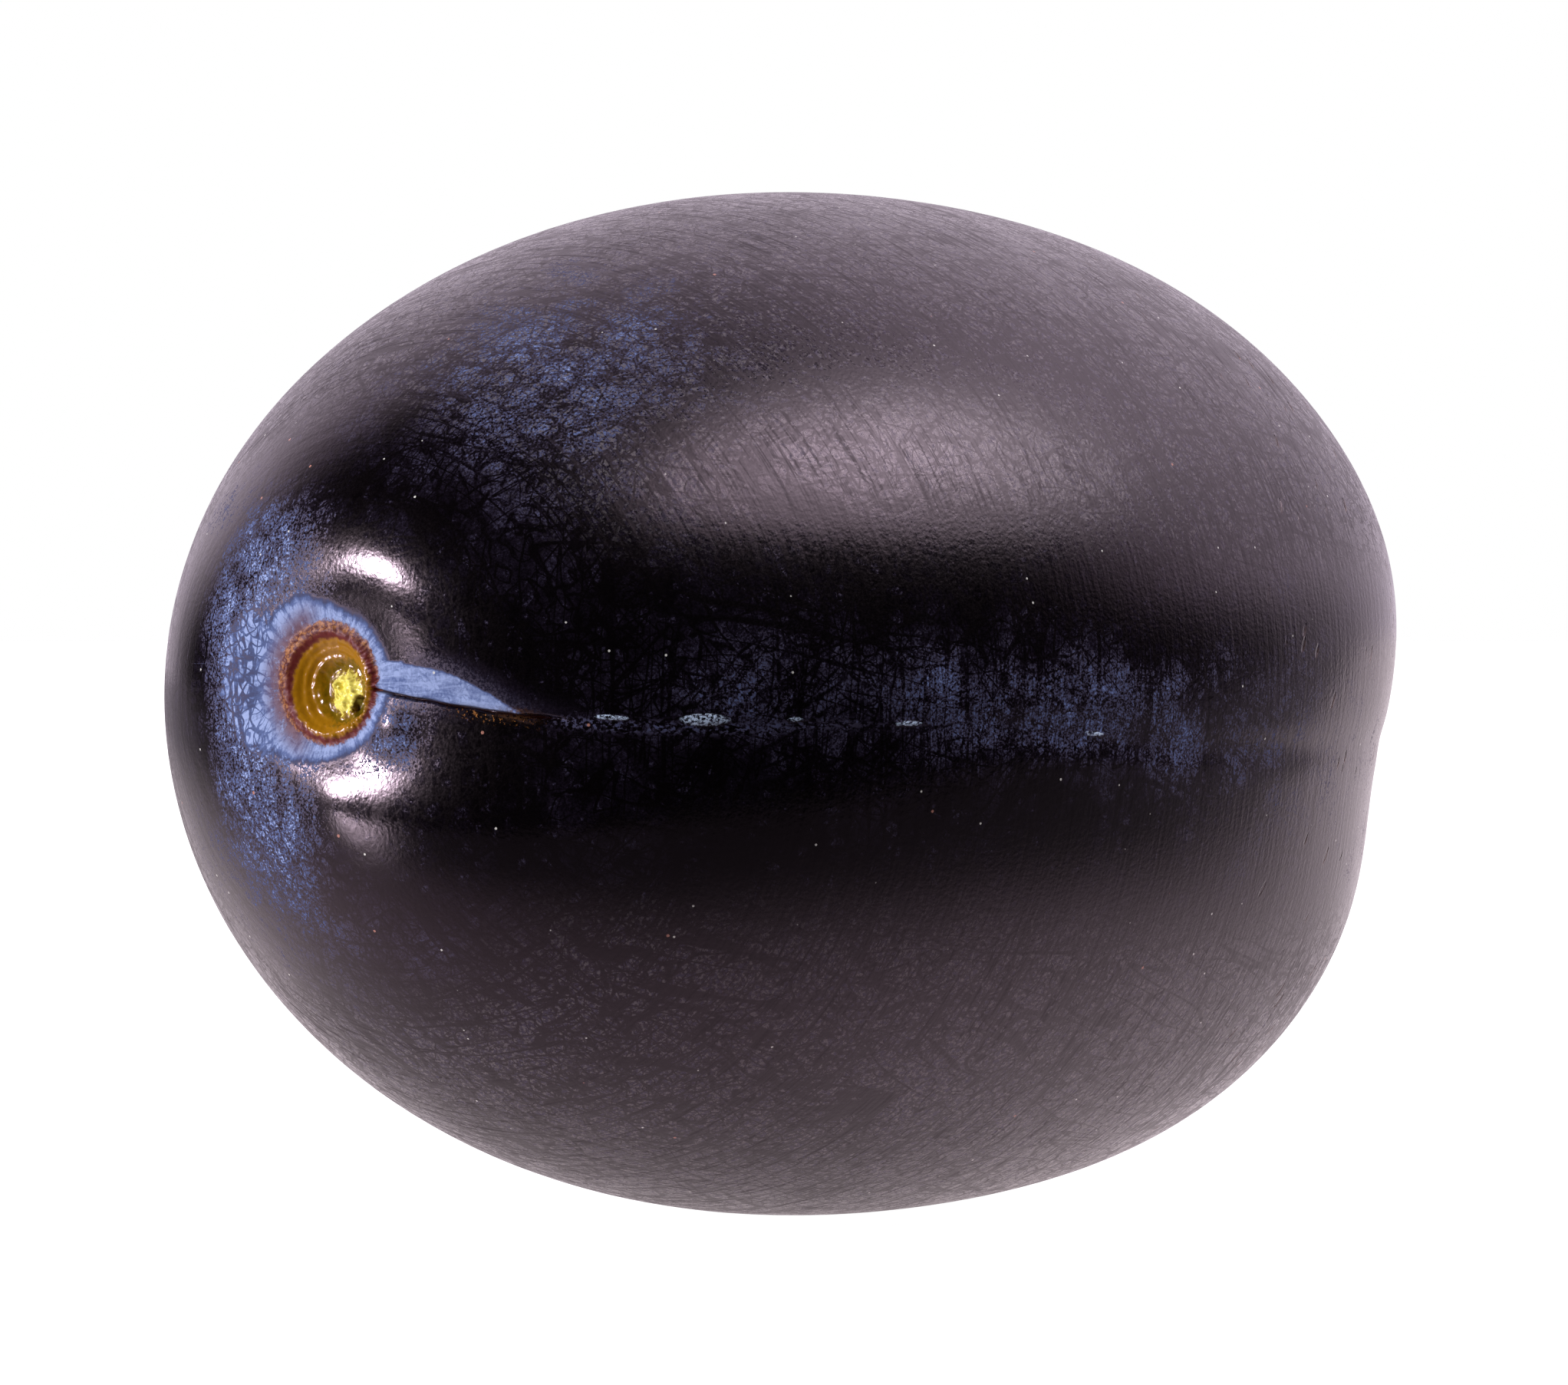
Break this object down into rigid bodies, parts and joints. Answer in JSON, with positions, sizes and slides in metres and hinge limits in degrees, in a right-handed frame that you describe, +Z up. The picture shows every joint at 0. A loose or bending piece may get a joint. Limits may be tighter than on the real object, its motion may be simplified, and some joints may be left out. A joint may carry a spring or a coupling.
{
  "type": "plum",
  "caption": "Whole oval plum without its stalk, lying on one cheek, with a suture valley, a stem cavity with the stalk scar, and a small flat spot to rest on.",
  "frame": {"origin": "middle of the small flat spot on the lower cheek that the plum rests on", "axes": "+Z up from the flat spot; +X along the fruit, towards the blossom end, so the stem end points along -X; the suture, the seam between the two cheeks, faces -Y"},
  "size_m": [0.0562, 0.0407, 0.0401],
  "materials": {
    "skin": "smooth waxy near-black purple skin, half covered by a thin blue-grey bloom that is rubbed and scratched away in places, with a gold and red-brown stalk scar"
  },
  "bodies": {
    "root": {"plum": "skin"}
  },
  "joints": []
}
